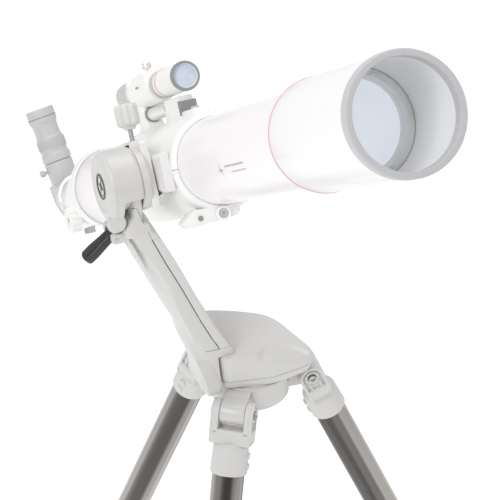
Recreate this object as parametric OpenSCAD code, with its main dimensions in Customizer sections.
// Long-focus refractor telescope on a one-arm altazimuth mount and a folding tripod.
// Millimetres, +Z up. The origin is on the ground, on the azimuth axis. The altitude axis is
// parallel to X, and the tube points to -Y.

/* [Optical tube] */
// Elevation of the tube above the horizon
tube_elev = 35; // [30:1:45]
// Outer radius of the main tube
tube_r = 48.5; // [46:0.5:50]
// Outer radius of the dew shield
shield_r = 56.5; // [55:0.5:58]
// Length of the dew shield
shield_len = 215; // [180:5:230]
// Distance from the altitude axis forward to the mouth of the dew shield
front_len = 606; // [560:1:640]
// Distance from the altitude axis back to the rear bell
rear_len = 416; // [400:1:440]
// Wall thickness of the metal tubes
wall = 2; // [1.5:0.5:3]
// Clear radius of the objective lens
lens_r = 45; // [42:0.5:46]

/* [Focuser and eyepiece] */
// Outer radius of the drawtube
draw_r = 25; // [24:0.5:26]
// Distance of the star diagonal's mirror behind the altitude axis
diag_y = 614; // [600:1:630]
// Tilt of the eyepiece out of the upright, towards the arm
diag_roll = 8; // [0:1:20]
// Outer radius of the eyepiece
eyepiece_r = 19.5; // [17:0.5:20]
// Height of the top of the eyepiece above the tube's axis
eyepiece_top = 125; // [115:1:135]

/* [Mount] */
// Height of the altitude axis
alt_z = 1002; // [960:1:1050]
// Distance of the tube's axis from the azimuth axis, towards the arm
tube_x = 52; // [50:0.5:54]
// Radius of the head drum
head_r = 38; // [36:0.5:40]
// Distance of the head's cap face from the azimuth axis
cap_x = 175; // [172:1:178]
// Width of the arm from front to back
arm_w = 50; // [44:1:54]

/* [Tripod] */
// Distance of the leg hinges below the altitude axis
hinge_drop = 312; // [300:1:320]
// Radius of the circle on which the leg hinges lie
hinge_r = 71; // [70:0.5:76]
// Splay of each leg from the upright
splay = 23.5; // [20:0.5:26]
// Direction of the first leg
leg_turn = -126; // [-130:1:-120]
// Outer radius of the upper leg tube
leg_r = 19.05; // [18:0.05:19.5]
// Outer radius of the lower leg tube
lower_r = 16; // [15:0.5:16]

/* [Hidden] */
$fn = 96;
fit = 0.05;                        // running clearance between a shaft and its bore
gap = 0.4;                         // air gap between bodies that only pass each other
hinge_z = alt_z - hinge_drop;
drum_far_x = cap_x - 38;           // the head's face next to the saddle
arm_wall = 4;
deck_z = hinge_z + 62;             // top of the base casting
rim_z = hinge_z + 24;              // top of the hub
lip_z = hinge_z + 18;              // underside of the base
seam_z = hinge_z + 30;             // where the base's cover meets its plate
boss_z = hinge_z + 48;             // top of the azimuth bolt's boss
spigot_r = 43;                     // the hub's step that centres the base
crown_r = 263;
shaft_r = 12;
tongue_w = 30;
ear_t = 9.5;
leg_len = hinge_z / cos(splay);    // from the hinge pin down to the ground
collar_s = 448;                    // where the leg collar starts, measured from the pin
collar_len = 54;
knob_s = collar_s + 41;
tube_front = -front_len + 130;     // front end of the main tube, inside the dew shield
lens_y = tube_front + 6;
cradle_front = -56;
cradle_back = 188;
cradle_r = 55.5;
bar_x = -(drum_far_x - 20 - tube_x);  // the dovetail bar's outer face, from the tube's axis
saddle_y = 28;                     // the clamp screw's place along the saddle
lever_x = 166;                     // the lever's pin
lever_y = -8;
lever_drop = 58;
lever_lean = 40;                   // the lever hangs this far below the level
finder_z = 100;
axle_y = 478;
axle_z = -30;
grip_r = 8;
grip_z = 71;
finder_r = 14;
bracket_r = 20.5;
post_y = 157;                      // front face of the rear handle post

// ---------- frames ----------
// The tube's frame: origin on the tube's axis at the altitude axis, -Y forward, +Z up.
module in_tube() {
    translate([-tube_x, 0, alt_z])
        rotate([-tube_elev, 0, 0])
            children();
}

// A leg's frame: origin on its hinge pin, -Z down the leg, +X away from the tripod's middle.
module in_leg(k) {
    rotate([0, 0, leg_turn + 120 * (k - 1)])
        translate([hinge_r, 0, hinge_z])
            rotate([0, -splay, 0])
                children();
}

// The star diagonal's frame: origin on the mirror, +Z up the eyepiece.
module in_diagonal() {
    in_tube()
        translate([0, diag_y, 0])
            rotate([0, -diag_roll, 0])
                children();
}

// ---------- helpers ----------
// A tube along +Y from y0 to y1.
module ring_y(r_out, r_in, y0, y1) {
    translate([0, y1, 0])
        rotate([90, 0, 0])
            difference() {
                cylinder(r = r_out, h = y1 - y0);
                translate([0, 0, -1])
                    cylinder(r = r_in, h = y1 - y0 + 2);
            }
}

// A solid of revolution about Y; points are [radius, y].
module turned_y(points) {
    rotate([-90, 0, 0])
        rotate_extrude()
            polygon(points);
}

module rod_x(r, x0, x1) {
    translate([x0, 0, 0])
        rotate([0, 90, 0])
            cylinder(r = r, h = x1 - x0);
}

module rod_y(r, y0, y1) {
    translate([0, y1, 0])
        rotate([90, 0, 0])
            cylinder(r = r, h = y1 - y0);
}

// A disc with a ring of round flutes cut out of its edge, as on a hand knob.
module fluted(r, h, count, flute_r) {
    difference() {
        cylinder(r = r, h = h);
        for (i = [0 : count - 1])
            rotate([0, 0, 360 * i / count])
                translate([r + flute_r * 0.55, 0, -1])
                    cylinder(r = flute_r, h = h + 2, $fn = 24);
    }
}

// ---------- tripod ----------
module hub_casting() {
    color("gainsboro")
        difference() {
            union() {
                translate([0, 0, hinge_z - 16])
                    cylinder(r = 48, h = 33);
                translate([0, 0, hinge_z + 17])
                    cylinder(r = spigot_r, h = rim_z - hinge_z - 17);
                for (k = [0 : 2])
                    rotate([0, 0, leg_turn + 120 * k])
                        difference() {
                            union() {
                                translate([0, -tongue_w / 2, hinge_z - 14])
                                    cube([hinge_r, tongue_w, 28]);
                                translate([hinge_r, 0, hinge_z])
                                    rod_y(14, -tongue_w / 2, tongue_w / 2);
                            }
                            translate([hinge_r, 0, hinge_z])
                                rod_y(4, -tongue_w, tongue_w);
                        }
            }
            translate([0, 0, hinge_z - 25])
                cylinder(r = 8, h = 60);
            translate([0, 0, hinge_z - 17])
                cylinder(r = 40, h = 10);
        }
}

module azimuth_bolt() {
    color("silver") {
        translate([0, 0, hinge_z - 13])
            cylinder(r = 14, h = 6, $fn = 6);
        translate([0, 0, hinge_z - 7])
            cylinder(r = 8, h = boss_z + gap - hinge_z + 7);
        translate([0, 0, boss_z + gap])
            cylinder(r = 13, h = 3);
    }
}

module azimuth_bearing() {
    color("white")
        translate([0, 0, rim_z])
            difference() {
                cylinder(r = 38, h = 2);
                translate([0, 0, -1])
                    cylinder(r = 20, h = 4);
            }
}

module leg_hinge_bolts() {
    color("dimgray")
        for (k = [0 : 2])
            rotate([0, 0, leg_turn + 120 * k])
                translate([hinge_r, 0, hinge_z]) {
                    rod_y(4, -tongue_w / 2 - ear_t - 1, tongue_w / 2 + ear_t + 1);
                    rod_y(7, tongue_w / 2 + ear_t + 1, tongue_w / 2 + ear_t + 5);
                    rod_y(7, -tongue_w / 2 - ear_t - 5, -tongue_w / 2 - ear_t - 1);
                }
}

module leg_socket(k) {
    color("gainsboro")
        in_leg(k)
            difference() {
                union() {
                    for (side = [-1, 1])
                        translate([0, side * (tongue_w / 2 + gap + ear_t / 2), 0]) {
                            rod_y(15, -ear_t / 2, ear_t / 2);
                            translate([-15, -ear_t / 2, -36])
                                cube([30, ear_t, 36]);
                        }
                    translate([-15, -tongue_w / 2 - gap - ear_t, -36])
                        cube([30, tongue_w + 2 * gap + 2 * ear_t, 18]);
                    translate([0, 0, -72])
                        cylinder(r = 22, h = 37);
                }
                rod_y(4 + fit, -50, 50);
                translate([0, 0, -73])
                    cylinder(r = leg_r, h = 35);
            }
}

module leg_upper_tube(k) {
    color("silver")
        in_leg(k)
            translate([0, 0, -collar_s - 30])
                difference() {
                    cylinder(r = leg_r, h = collar_s + 30 - 38);
                    translate([0, 0, -1])
                        cylinder(r = leg_r - 1.3, h = collar_s + 30);
                }
}

module leg_collar(k) {
    color("gainsboro")
        in_leg(k)
            difference() {
                union() {
                    translate([0, 0, -collar_s - collar_len])
                        cylinder(r = 23, h = collar_len);
                    translate([0, 0, -knob_s])
                        rod_x(8, 10, 27);
                }
                translate([0, 0, -collar_s - 30])
                    cylinder(r = leg_r, h = 31);
                translate([0, 0, -collar_s - collar_len - 1])
                    cylinder(r = lower_r + fit, h = collar_len);
                translate([0, 0, -knob_s])
                    rod_x(3 + fit, 0, 30);
            }
}

module leg_lower_tube(k) {
    color("silver")
        in_leg(k)
            difference() {
                union() {
                    translate([0, 0, -leg_len + 30])
                        cylinder(r = lower_r, h = leg_len - 30 - 90);
                    translate([0, 0, -110])
                        cylinder(r = leg_r - 1.3 - fit, h = 20);
                }
                translate([0, 0, -leg_len - 1])
                    cylinder(r = lower_r - 1.5, h = leg_len);
            }
}

module leg_foot(k) {
    color("dimgray")
        difference() {
            in_leg(k)
                difference() {
                    union() {
                        translate([0, 0, -leg_len - 20])
                            cylinder(r = 19, h = 40);
                        translate([0, 0, -leg_len + 20])
                            cylinder(r1 = 19, r2 = 17.5, h = 40);
                    }
                    translate([0, 0, -leg_len + 30])
                        cylinder(r = lower_r, h = 40);
                }
            translate([-500, -500, -100])
                cube([1000, 1000, 100]);
        }
}

module leg_knob(k) {
    color("dimgray")
        in_leg(k)
            translate([0, 0, -knob_s]) {
                rod_x(3, lower_r + gap, 30);
                translate([28, 0, 0])
                    rotate([0, 90, 0])
                        fluted(12, 14, 6, 4);
            }
}

// ---------- mount ----------
// The base's outline, drawn tight by a hull: a long bowed front and a round back.
module base_outline(grow) {
    hull() {
        translate([-40, -30])
            circle(r = 12 + grow);
        translate([12, -20])
            circle(r = 29 + grow);
        translate([48, -22])
            circle(r = 22 + grow);
        translate([20, 15])
            circle(r = 36 + grow);
        translate([-30, 38])
            circle(r = 28 + grow);
    }
}

// The plate that turns on the hub, with the boss for the azimuth bolt.
module base_casting() {
    color("gainsboro")
        difference() {
            union() {
                translate([0, 0, lip_z])
                    linear_extrude(seam_z - lip_z)
                        base_outline(0);
                translate([0, 0, lip_z])
                    cylinder(r = 18, h = boss_z - lip_z);
            }
            translate([0, 0, lip_z - 1])
                cylinder(r = spigot_r + 2 * gap, h = rim_z + gap - lip_z + 1);
            translate([0, 0, rim_z])
                cylinder(r = 40, h = 2 + gap);
            translate([0, 0, lip_z - 1])
                cylinder(r = 8 + fit, h = 60);
        }
}

// A block with the crown of the deck as its top: one long curve that falls away from the arm.
module crowned(grow, drop) {
    intersection() {
        translate([0, 0, seam_z])
            linear_extrude(deck_z - seam_z)
                base_outline(grow);
        translate([-40, 0, deck_z - crown_r])
            rod_y(crown_r - drop, -200, 200);
    }
}

module base_cover() {
    color("gainsboro")
        difference() {
            crowned(0, 0);
            translate([0, 0, -1])
                crowned(-3, 3);
        }
}

// The arm's side view, between its outer and inner edges, shrunk by an inset. It leans from the
// foot out to the head.
module arm_profile(inset) {
    offset(delta = -inset)
        translate([0, alt_z])
            polygon([[-137.5, -18], [-137.5, -37], [-129, -41], [-129, -54], [-118, -64], [-98, -104],
                     [-76, -160], [-57, -200],
                     [-44, -226], [-28, -244], [-28, -251], [-40, -251], [-40, -290],
                     [-58, -290], [-66, -278], [-76, -251], [-81, -236], [-90, -212],
                     [-106, -178], [-121, -144], [-140, -100], [-154, -66], [-162, -44],
                     [-168, -20]]);
}

module arm_half(w) {
    translate([0, w / 2, 0])
        rotate([90, 0, 0])
            linear_extrude(w)
                children();
}

// The line where the arm's cover meets its shell; everything on the tube's side is the cover.
module cover_side() {
    translate([0, alt_z])
        polygon([[-110, -64], [-127, -64], [-112, -96], [-96, -134], [-72, -186], [-58, -216],
                 [0, -216], [0, -64]]);
}

// Two lugs and the pin that the lever swings on.
module lever_lugs() {
    translate([-lever_x, lever_y, alt_z - lever_drop]) {
        rod_y(2.5 - fit, -16, 16);
        for (side = [-1, 1])
            translate([0, side * 12.5, 0]) {
                rod_y(6, -3, 3);
                translate([0, -3, -6])
                    cube([14, 6, 12]);
            }
    }
}

// The rounded foot that wraps the corner of the base.
module arm_foot() {
    translate([0, 0, lip_z])
        linear_extrude(36)
            hull() {
                translate([-60, -29])
                    circle(r = 15);
                translate([-66, 16])
                    circle(r = 9);
            }
}

module arm_shell() {
    color("lightgray")
        difference() {
            union() {
                arm_half(arm_w)
                    difference() {
                        arm_profile(0);
                        cover_side();
                    }
                lever_lugs();
                arm_foot();
            }
            arm_half(arm_w - 2 * arm_wall)
                difference() {
                    intersection() {
                        arm_profile(arm_wall);
                        translate([-200, alt_z - 215])
                            square([200, 140]);
                    }
                    cover_side();
                }
            head_space(head_r);
            base_space();
        }
}

module arm_cover() {
    color("lightgray")
        difference() {
            arm_half(arm_w)
                intersection() {
                    arm_profile(0);
                    cover_side();
                }
            arm_half(arm_w - 2 * arm_wall)
                intersection() {
                    arm_profile(arm_wall);
                    cover_side();
                }
        }
}

module head_space(r) {
    translate([0, 0, alt_z])
        rod_x(r, -cap_x, -drum_far_x);
}

// The room that the base takes out of the arm's foot.
module base_space() {
    translate([0, 0, hinge_z])
        linear_extrude(deck_z - hinge_z)
            base_outline(0);
    translate([-200, -100, hinge_z])
        cube([400, 200, lip_z - hinge_z]);
}

module head_housing() {
    color("lightgray")
        translate([0, 0, alt_z])
            difference() {
                rod_x(head_r, -cap_x + 5, -drum_far_x);
                rod_x(head_r - arm_wall, -cap_x + 4, -drum_far_x - 10);
                rod_x(shaft_r + 4, -cap_x, -drum_far_x + 1);
            }
}

module head_cap() {
    color("gainsboro")
        translate([-cap_x, 0, alt_z])
            rotate([0, 90, 0])
                rotate_extrude()
                    polygon([[0, 0], [26, 0], [27, 0.8], [head_r - 3, 1.2], [head_r, 5],
                             [head_r - arm_wall, 5], [head_r - arm_wall, 9], [head_r - 7, 9],
                             [head_r - 7, 4], [0, 4]]);
}

module altitude_bush() {
    color("white")
        translate([0, 0, alt_z])
            difference() {
                union() {
                    rod_x(shaft_r + 4, -drum_far_x - 10, -drum_far_x);
                    rod_x(shaft_r + 9, -drum_far_x - 14, -drum_far_x - 10);
                }
                rod_x(shaft_r + fit, -cap_x, -drum_far_x + 1);
            }
}

// The lever swings about a pin parallel to Y on the outer edge of the arm.
module lock_lever() {
    color([0.24, 0.24, 0.26])
        translate([-lever_x, lever_y, alt_z - lever_drop])
            rotate([0, -lever_lean, 0])
                difference() {
                    union() {
                        translate([-36, -9, -5.5])
                            cube([36, 18, 11]);
                        translate([-36, 0, -5.5])
                            cylinder(r = 9, h = 11);
                        rod_y(5.5, -9, 9);
                    }
                    rod_y(2.5, -12, 12);
                }
}

// ---------- saddle ----------
module altitude_shaft() {
    color("silver")
        translate([0, 0, alt_z]) {
            rod_x(shaft_r, -drum_far_x - 20, -drum_far_x + 4);
            rod_x(shaft_r + 8, -drum_far_x - 20, -drum_far_x - 14 - fit);
        }
}

module saddle_body() {
    color("lightgray")
        in_tube() {
            difference() {
                union() {
                    translate([-(drum_far_x - tube_x) + gap, 0, 0])
                        rod_x(35, 0, 9);
                    translate([bar_x - 11, -24, -34])
                        cube([9, 48, 74]);
                    translate([bar_x - 11, 20, -8])
                        cube([9, 32, 48]);
                    translate([bar_x - 3, -24, -34])
                        cube([11, 48, 12]);
                    translate([bar_x - 11, saddle_y - 13, 30])
                        cube([17, 26, 12]);
                }
                translate([-100, 0, 0])
                    rod_x(shaft_r, 0, 20);
                translate([bar_x - 3, saddle_y, 20])
                    cylinder(r = 3 + fit, h = 30);
            }
        }
}

module saddle_jaw() {
    color("lightgray")
        in_tube()
            difference() {
                translate([bar_x - 2, saddle_y - 20, 22])
                    cube([9, 40, 7.5]);
                translate([bar_x - 3, saddle_y, 24])
                    cylinder(r = 3 + fit, h = 10);
            }
}

module clamp_knob() {
    color("whitesmoke")
        in_tube()
            translate([bar_x - 3, saddle_y, 0]) {
                translate([0, 0, 25])
                    cylinder(r = 3, h = 32);
                translate([0, 0, 55])
                    fluted(13.5, 29, 8, 4);
            }
}

module dovetail_bar() {
    color("whitesmoke")
        in_tube()
            translate([bar_x, cradle_front + 6, -22])
                cube([11, cradle_back - cradle_front - 12, 44]);
}

// ---------- cradle and handle ----------
// One half of the clamshell around the tube; side is 1 for the upper half, -1 for the lower.
module cradle_half(side) {
    color("whitesmoke")
        in_tube()
            difference() {
                union() {
                    ring_y(cradle_r, tube_r, cradle_front, cradle_back);
                    translate([cradle_r - 8, cradle_front, -7])
                        cube([14, cradle_back - cradle_front, 14]);
                    if (side < 0)
                        translate([-54, cradle_front + 1, -65])
                            cube([62, 34, 18]);
                }
                translate([0, cradle_front - 1, 0])
                    rod_y(tube_r, 0, cradle_back - cradle_front + 2);
                translate([-200, cradle_front - 1, side > 0 ? -100 : 0])
                    cube([400, cradle_back - cradle_front + 2, 100]);
                translate([bar_x - 10, cradle_front - 1, -22])
                    cube([21, cradle_back - cradle_front + 2, 44]);
            }
}

module handle_posts() {
    color("whitesmoke")
        in_tube()
            difference() {
                union() {
                    translate([-11, 14, 40])
                        cube([22, 58, 40]);
                    translate([-11, cradle_front + 22, 40])
                        cube([22, 50, 21]);
                    translate([-11, post_y, 40])
                        cube([22, 28, 38]);
                }
                rod_y(cradle_r, -200, 200);
                translate([0, 0, grip_z])
                    rod_y(grip_r, 60, 160);
            }
}

module handle_grip() {
    color("silver")
        in_tube()
            translate([0, 0, grip_z])
                rod_y(grip_r, 60, 160);
}

// ---------- optical tube ----------
module main_tube() {
    color("whitesmoke")
        in_tube()
            ring_y(tube_r, tube_r - wall, tube_front, rear_len + 4);
}

module dew_shield() {
    color("whitesmoke")
        in_tube() {
            ring_y(shield_r, shield_r - wall, -front_len + 6, -front_len + shield_len);
            ring_y(shield_r - wall, tube_r, -front_len + shield_len - 8, -front_len + shield_len);
        }
}

module front_ring() {
    color("lightgray")
        in_tube()
            turned_y([[shield_r - 5, -front_len], [shield_r + 0.8, -front_len],
                      [shield_r + 1.8, -front_len + 2], [shield_r + 1.8, -front_len + 12],
                      [shield_r, -front_len + 14], [shield_r, -front_len + 6],
                      [shield_r - wall, -front_len + 6], [shield_r - wall, -front_len + 14],
                      [shield_r - 5, -front_len + 14]]);
}

module lens_cell() {
    color("dimgray")
        in_tube() {
            ring_y(shield_r - wall, lens_r, tube_front - 14, tube_front);
            ring_y(tube_r - wall, lens_r, tube_front, tube_front + 24);
        }
}

// Two elements: a biconvex crown in front of a flint, with an air space between them.
module objective_lens() {
    edge = 5;
    color("lightsteelblue", 0.6)
        in_tube() {
            turned_y([for (i = [0 : 12]) [lens_r * i / 12, lens_y - 5 - 3 * (1 - pow(i / 12, 2))],
                      for (i = [12 : -1 : 0]) [lens_r * i / 12,
                                               lens_y - 5 + edge + 2 * (1 - pow(i / 12, 2))]]);
            turned_y([for (i = [0 : 12]) [lens_r * i / 12, lens_y + 3 + 2 * (1 - pow(i / 12, 2))],
                      for (i = [12 : -1 : 0]) [lens_r * i / 12, lens_y + 3 + edge + 3]]);
        }
}

module tube_baffles() {
    color("dimgray")
        in_tube()
            for (i = [0 : 3])
                ring_y(tube_r - wall, 40 - 5 * i, -300 + 180 * i, -298 + 180 * i);
}

module rear_bell() {
    color("whitesmoke")
        in_tube()
            turned_y([[tube_r, rear_len - 16], [tube_r + 2.5, rear_len - 16],
                      [tube_r + 2.5, rear_len + 6], [tube_r - 2, rear_len + 22],
                      [tube_r - 10, rear_len + 36], [36, rear_len + 40], [29, rear_len + 40],
                      [29, rear_len + 30], [tube_r - 4, rear_len + 4], [tube_r, rear_len + 4]]);
}

module focuser_body() {
    color("whitesmoke")
        in_tube()
            difference() {
                union() {
                    turned_y([[0, rear_len + 24], [29, rear_len + 24], [29, rear_len + 40],
                              [34, rear_len + 40], [34, rear_len + 44], [32, rear_len + 46],
                              [32, rear_len + 100], [30, rear_len + 104], [0, rear_len + 104]]);
                    translate([-22, axle_y - 15, axle_z - 13])
                        cube([44, 30, 24]);
                    translate([-17, rear_len + 92, -34])
                        cube([12, 12, 16]);
                }
                rod_y(draw_r + fit, rear_len, rear_len + 120);
                translate([0, axle_y, axle_z])
                    rod_x(3 + fit, -50, 50);
                translate([0, axle_y, axle_z])
                    rod_x(8.5, -8, 8);
                translate([-11, rear_len + 98, -60])
                    cylinder(r = 2.5 + fit, h = 60);
            }
}

module drawtube() {
    color("silver")
        in_tube()
            difference() {
                union() {
                    rod_y(draw_r, rear_len + 20, diag_y - 34);
                    ring_y(draw_r + 4, 10, diag_y - 46, diag_y - 30);
                }
                rod_y(draw_r - 3, rear_len, diag_y - 44);
                rod_y(16, rear_len, diag_y);
                translate([-4, rear_len, -40])
                    cube([8, 130, 16.5]);
            }
}

module focus_axle() {
    color("silver")
        in_tube()
            translate([0, axle_y, axle_z]) {
                rod_x(3, -46, 46);
                rod_x(5, -3.6, 3.6);
            }
}

module focus_knobs() {
    color("whitesmoke")
        in_tube()
            for (side = [-1, 1])
                translate([0, axle_y, axle_z])
                    rotate([0, side * 90, 0])
                        translate([0, 0, 24])
                            difference() {
                                union() {
                                    cylinder(r = 8, h = 6);
                                    translate([0, 0, 6])
                                        fluted(17, 16, 12, 4);
                                }
                                translate([0, 0, -1])
                                    cylinder(r = 3, h = 23);
                            }
}

module focus_lock() {
    color("silver")
        in_tube()
            translate([-11, rear_len + 98, 0]) {
                translate([0, 0, -46])
                    cylinder(r = 2.5, h = 22);
                translate([0, 0, -52])
                    fluted(7, 8, 10, 1.5);
            }
}

// ---------- star diagonal and eyepiece ----------
// Everything on the light's side of the mirror's face.
module above_mirror() {
    rotate([45, 0, 0])
        translate([-60, -80, -6])
            cube([120, 160, 160]);
}

module diagonal_body() {
    color("silver")
        in_diagonal()
            difference() {
                union() {
                    rod_y(15.95, -60, -18);
                    translate([-20, -20, -20])
                        cube([40, 40, 40]);
                    translate([0, 0, 19])
                        cylinder(r = 19, h = 33);
                }
                intersection() {
                    union() {
                        rod_y(13, -61, 14);
                        translate([0, 0, -14])
                            cylinder(r = 13, h = 80);
                    }
                    above_mirror();
                }
                translate([0, 0, 22])
                    cylinder(r = 15.9, h = 40);
                rotate([45, 0, 0])
                    translate([-15, -17, -9])
                        cube([30, 34, 3]);
                rotate([45, 0, 0])
                    translate([-60, -80, -72])
                        cube([120, 160, 60]);
            }
}

module diagonal_mirror() {
    color("lightsteelblue")
        in_diagonal()
            rotate([45, 0, 0])
                translate([-15, -17, -9])
                    cube([30, 34, 3]);
}

module eyepiece_body() {
    color("dimgray")
        in_diagonal()
            rotate_extrude()
                polygon([[11, 24], [15.85, 24], [15.85, 52 + gap], [eyepiece_r, 52 + gap],
                         [eyepiece_r, 62], [eyepiece_r - 1.5, 64], [eyepiece_r - 1.5, 84],
                         [eyepiece_r - 3, 88], [eyepiece_r - 3, 104], [eyepiece_r - 0.5, 108],
                         [eyepiece_r - 0.5, eyepiece_top], [eyepiece_r - 4, eyepiece_top],
                         [eyepiece_r - 5, 112], [11, 112]]);
}

module eyepiece_lens() {
    color("lightsteelblue", 0.6)
        in_diagonal()
            rotate_extrude()
                polygon([[0, 101], [11, 101], [11, 108], [6, 109.2], [0, 109.8]]);
}

// ---------- finder ----------
module at_finder() {
    in_tube()
        translate([0, 0, finder_z])
            children();
}

module finder_bracket() {
    color("whitesmoke")
        at_finder()
            difference() {
                union() {
                    rod_y(bracket_r, 98, 182);
                    translate([-9, post_y + 3, grip_z + 7 - finder_z])
                        cube([18, 24, 12]);
                }
                rod_y(finder_r, 90, 190);
                translate([0, 140, 10])
                    cylinder(r = 2 + fit, h = 20);
            }
}

module finder_tube() {
    color("whitesmoke")
        at_finder()
            turned_y([[13.6, 0], [15.5, 0], [16.5, 2], [16.5, 76], [15.5, 82], [finder_r, 84],
                      [finder_r, 202], [11, 202], [11, 84], [13.6, 76]]);
}

module finder_lens() {
    color("lightsteelblue", 0.6)
        at_finder()
            turned_y([[0, 2], [8, 3], [13.6, 5], [13.6, 9], [0, 9]]);
}

module finder_eyepiece() {
    color("dimgray")
        at_finder()
            turned_y([[0, 202], [finder_r, 202], [16, 204], [16, 224], [15, 242], [9, 242],
                      [7, 238], [0, 238]]);
}

module finder_screw() {
    color("silver")
        at_finder()
            translate([0, 140, 0]) {
                translate([0, 0, finder_r + fit])
                    cylinder(r = 2, h = 12);
                translate([0, 0, 23])
                    fluted(5.5, 7, 10, 1.2);
            }
}

hub_casting();
azimuth_bolt();
azimuth_bearing();
leg_hinge_bolts();
leg_socket(1);  // leg_socket_1
leg_upper_tube(1);  // leg_upper_tube_1
leg_collar(1);  // leg_collar_1
leg_lower_tube(1);  // leg_lower_tube_1
leg_foot(1);  // leg_foot_1
leg_knob(1);  // leg_knob_1
leg_socket(2);  // leg_socket_2
leg_upper_tube(2);  // leg_upper_tube_2
leg_collar(2);  // leg_collar_2
leg_lower_tube(2);  // leg_lower_tube_2
leg_foot(2);  // leg_foot_2
leg_knob(2);  // leg_knob_2
leg_socket(3);  // leg_socket_3
leg_upper_tube(3);  // leg_upper_tube_3
leg_collar(3);  // leg_collar_3
leg_lower_tube(3);  // leg_lower_tube_3
leg_foot(3);  // leg_foot_3
leg_knob(3);  // leg_knob_3
base_casting();
base_cover();
arm_shell();
arm_cover();
head_housing();
head_cap();
altitude_bush();
lock_lever();
altitude_shaft();
saddle_body();
saddle_jaw();
clamp_knob();
dovetail_bar();
cradle_half(-1);  // cradle_lower
cradle_half(1);  // cradle_upper
handle_posts();
handle_grip();
main_tube();
dew_shield();
front_ring();
lens_cell();
objective_lens();
tube_baffles();
rear_bell();
focuser_body();
drawtube();
focus_axle();
focus_knobs();
focus_lock();
diagonal_body();
diagonal_mirror();
eyepiece_body();
eyepiece_lens();
finder_bracket();
finder_tube();
finder_lens();
finder_eyepiece();
finder_screw();
